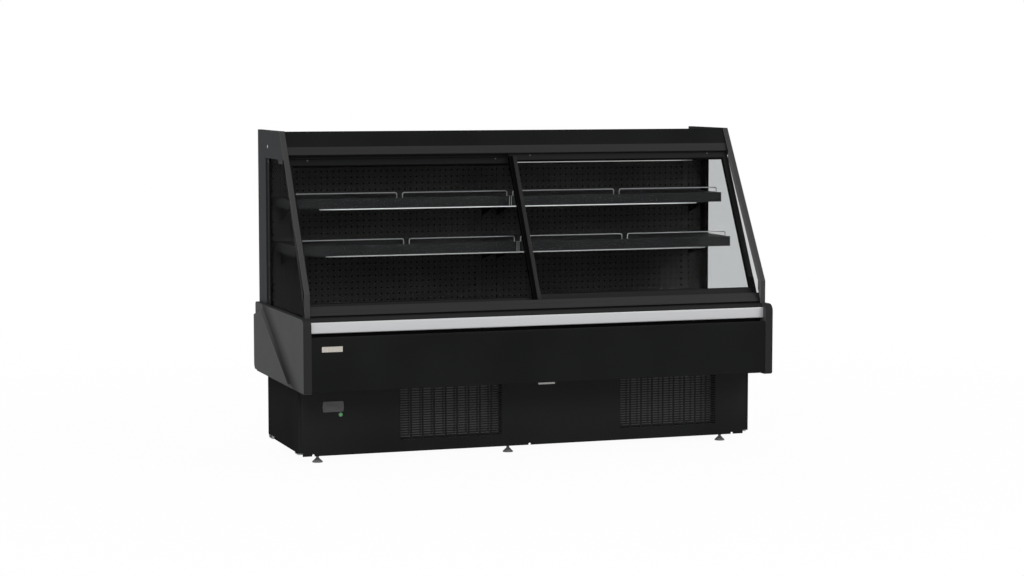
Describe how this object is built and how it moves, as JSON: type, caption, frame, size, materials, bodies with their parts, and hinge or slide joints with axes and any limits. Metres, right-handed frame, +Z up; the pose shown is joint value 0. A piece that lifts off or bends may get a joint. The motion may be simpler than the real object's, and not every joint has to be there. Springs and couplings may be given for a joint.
{
  "type": "refrigerated display case",
  "caption": "Low plug-in display fridge with two leaning glass doors that slide past each other, shelf tiers with wire fences, a lit canopy and end bumpers on a recessed base.",
  "frame": {"origin": "centre of the bounding box on the floor under the levelling feet", "axes": "+X along the case to the right seen from the front, +Y to the back, +Z up"},
  "size_m": [1.957, 0.795, 1.274],
  "materials": {
    "black_sheet": "satin black powder coat",
    "slate_sheet": "satin dark grey powder coat",
    "track_grey": "dark grey anodised extrusion",
    "post_grey": "dark grey anodised profile",
    "door_profile": "black anodised profile",
    "handrail_strip": "light grey satin",
    "bumper_grey": "moulded dark grey",
    "foam_body": "foam-filled body in black skin",
    "clear_glass": "clear",
    "tinted_glass": "light grey tint",
    "seal_rubber": "soft grey",
    "galvanised": "zinc",
    "coil_fins": "bare fins",
    "fan_plastic": "black",
    "compressor_black": "gloss black",
    "foot_grey": "grey",
    "plate_silver": "satin",
    "window_grey": "mid grey window",
    "switch_green": "lit green",
    "fence_wire": "bright",
    "light_white": "white diffuser",
    "roller_nylon": "white nylon"
  },
  "bodies": {
    "cabinet": {"base_frame": "galvanised", "base_front_panel": "black_sheet", "base_side_panels": "black_sheet", "base_rear_panel": "black_sheet", "vent_screens": "galvanised", "control_unit": "window_grey", "panel_grip_plate": "plate_silver", "fascia_panel": "black_sheet", "badge_plate": "plate_silver", "handrail": "handrail_strip", "bumper_left": "bumper_grey", "bumper_right": "bumper_grey", "end_frame_left": "slate_sheet", "end_frame_right": "slate_sheet", "front_post_left": "post_grey", "front_post_right": "post_grey", "end_glass_left": "tinted_glass", "end_glass_right": "tinted_glass", "end_glass_seals": "seal_rubber", "canopy_fascia": "black_sheet", "roof_panel": "foam_body", "top_track": "track_grey", "bottom_track": "track_grey", "air_outlet_honeycomb": "fan_plastic", "insulated_tank": "foam_body", "rear_wall": "foam_body", "back_panel": "black_sheet", "shelf_uprights": "black_sheet", "upper_shelves": "black_sheet", "lower_shelves": "black_sheet", "shelf_brackets": "black_sheet", "shelf_fences": "fence_wire", "light_strips": "light_white", "deck_trays": "black_sheet", "return_air_grille": "black_sheet", "evaporator_coil": "coil_fins", "evaporator_fan_plate": "galvanised", "condenser_coil": "coil_fins", "fan_shroud": "galvanised", "compressor": "compressor_black", "drain_pan": "galvanised", "electrical_box": "black_sheet"},
    "left_door": {"left_door_frame": "door_profile", "left_door_glass": "clear_glass"},
    "right_door": {"right_door_frame": "door_profile", "right_door_glass": "clear_glass"},
    "left_door_roller_left": {"left_door_roller_left": "roller_nylon"},
    "left_door_roller_right": {"left_door_roller_right": "roller_nylon"},
    "right_door_roller_left": {"right_door_roller_left": "roller_nylon"},
    "right_door_roller_right": {"right_door_roller_right": "roller_nylon"},
    "power_switch": {"power_switch": "switch_green"},
    "evaporator_fan_left": {"evaporator_fan_left": "fan_plastic"},
    "evaporator_fan_right": {"evaporator_fan_right": "fan_plastic"},
    "condenser_fan": {"condenser_fan": "fan_plastic"},
    "foot_front_left": {"foot_front_left": "foot_grey"},
    "foot_front_centre": {"foot_front_centre": "foot_grey"},
    "foot_front_right": {"foot_front_right": "foot_grey"},
    "foot_rear_left": {"foot_rear_left": "foot_grey"},
    "foot_rear_centre": {"foot_rear_centre": "foot_grey"},
    "foot_rear_right": {"foot_rear_right": "foot_grey"}
  },
  "joints": [
    {"name": "left_door_slide", "type": "slide", "parent": "cabinet", "child": "left_door", "axis": [1, 0, 0], "range_m": [0, 0.914]},
    {"name": "right_door_slide", "type": "slide", "parent": "cabinet", "child": "right_door", "axis": [1, 0, 0], "range_m": [-0.914, 0]},
    {"name": "left_door_roller_left_spin", "type": "hinge", "parent": "left_door", "child": "left_door_roller_left", "pos_m": [-0.8445, -0.29285, 0.58306], "axis": [0, 0.8788, -0.4772], "range_deg": [0, 6547]},
    {"name": "left_door_roller_right_spin", "type": "hinge", "parent": "left_door", "child": "left_door_roller_right", "pos_m": [-0.0695, -0.29285, 0.58306], "axis": [0, 0.8788, -0.4772], "range_deg": [0, 6547]},
    {"name": "right_door_roller_left_spin", "type": "hinge", "parent": "right_door", "child": "right_door_roller_left", "pos_m": [0.0695, -0.31658, 0.59594], "axis": [0, 0.8788, -0.4772], "range_deg": [-6547, 0]},
    {"name": "right_door_roller_right_spin", "type": "hinge", "parent": "right_door", "child": "right_door_roller_right", "pos_m": [0.8445, -0.31658, 0.59594], "axis": [0, 0.8788, -0.4772], "range_deg": [-6547, 0]},
    {"name": "power_switch_press", "type": "slide", "parent": "cabinet", "child": "power_switch", "axis": [0, 1, 0], "range_m": [0, 0.002], "stiffness_N_per_m": 900, "springref_m": -0.002},
    {"name": "evaporator_fan_left_spin", "type": "hinge", "parent": "cabinet", "child": "evaporator_fan_left", "pos_m": [-0.4, -0.0975, 0.423], "axis": [0, 1, 0], "continuous": true},
    {"name": "evaporator_fan_right_spin", "type": "hinge", "parent": "cabinet", "child": "evaporator_fan_right", "pos_m": [0.4, -0.0975, 0.423], "axis": [0, 1, 0], "continuous": true},
    {"name": "condenser_fan_spin", "type": "hinge", "parent": "cabinet", "child": "condenser_fan", "pos_m": [-0.3295, -0.0475, 0.177], "axis": [0, 1, 0], "continuous": true},
    {"name": "foot_front_left_turn", "type": "hinge", "parent": "cabinet", "child": "foot_front_left", "pos_m": [-0.8615, -0.1775, 0], "axis": [0, 0, 1], "continuous": true},
    {"name": "foot_front_centre_turn", "type": "hinge", "parent": "cabinet", "child": "foot_front_centre", "pos_m": [-0.082, -0.1775, 0], "axis": [0, 0, 1], "continuous": true},
    {"name": "foot_front_right_turn", "type": "hinge", "parent": "cabinet", "child": "foot_front_right", "pos_m": [0.8375, -0.1775, 0], "axis": [0, 0, 1], "continuous": true},
    {"name": "foot_rear_left_turn", "type": "hinge", "parent": "cabinet", "child": "foot_rear_left", "pos_m": [-0.8615, 0.2525, 0], "axis": [0, 0, 1], "continuous": true},
    {"name": "foot_rear_centre_turn", "type": "hinge", "parent": "cabinet", "child": "foot_rear_centre", "pos_m": [-0.082, 0.2525, 0], "axis": [0, 0, 1], "continuous": true},
    {"name": "foot_rear_right_turn", "type": "hinge", "parent": "cabinet", "child": "foot_rear_right", "pos_m": [0.8375, 0.2525, 0], "axis": [0, 0, 1], "continuous": true}
  ],
  "couplings": [
    {"joint": "left_door_roller_left_spin", "follows": "left_door_slide", "rad_per_m": 125},
    {"joint": "left_door_roller_right_spin", "follows": "left_door_slide", "rad_per_m": 125},
    {"joint": "right_door_roller_left_spin", "follows": "right_door_slide", "rad_per_m": 125},
    {"joint": "right_door_roller_right_spin", "follows": "right_door_slide", "rad_per_m": 125}
  ]
}
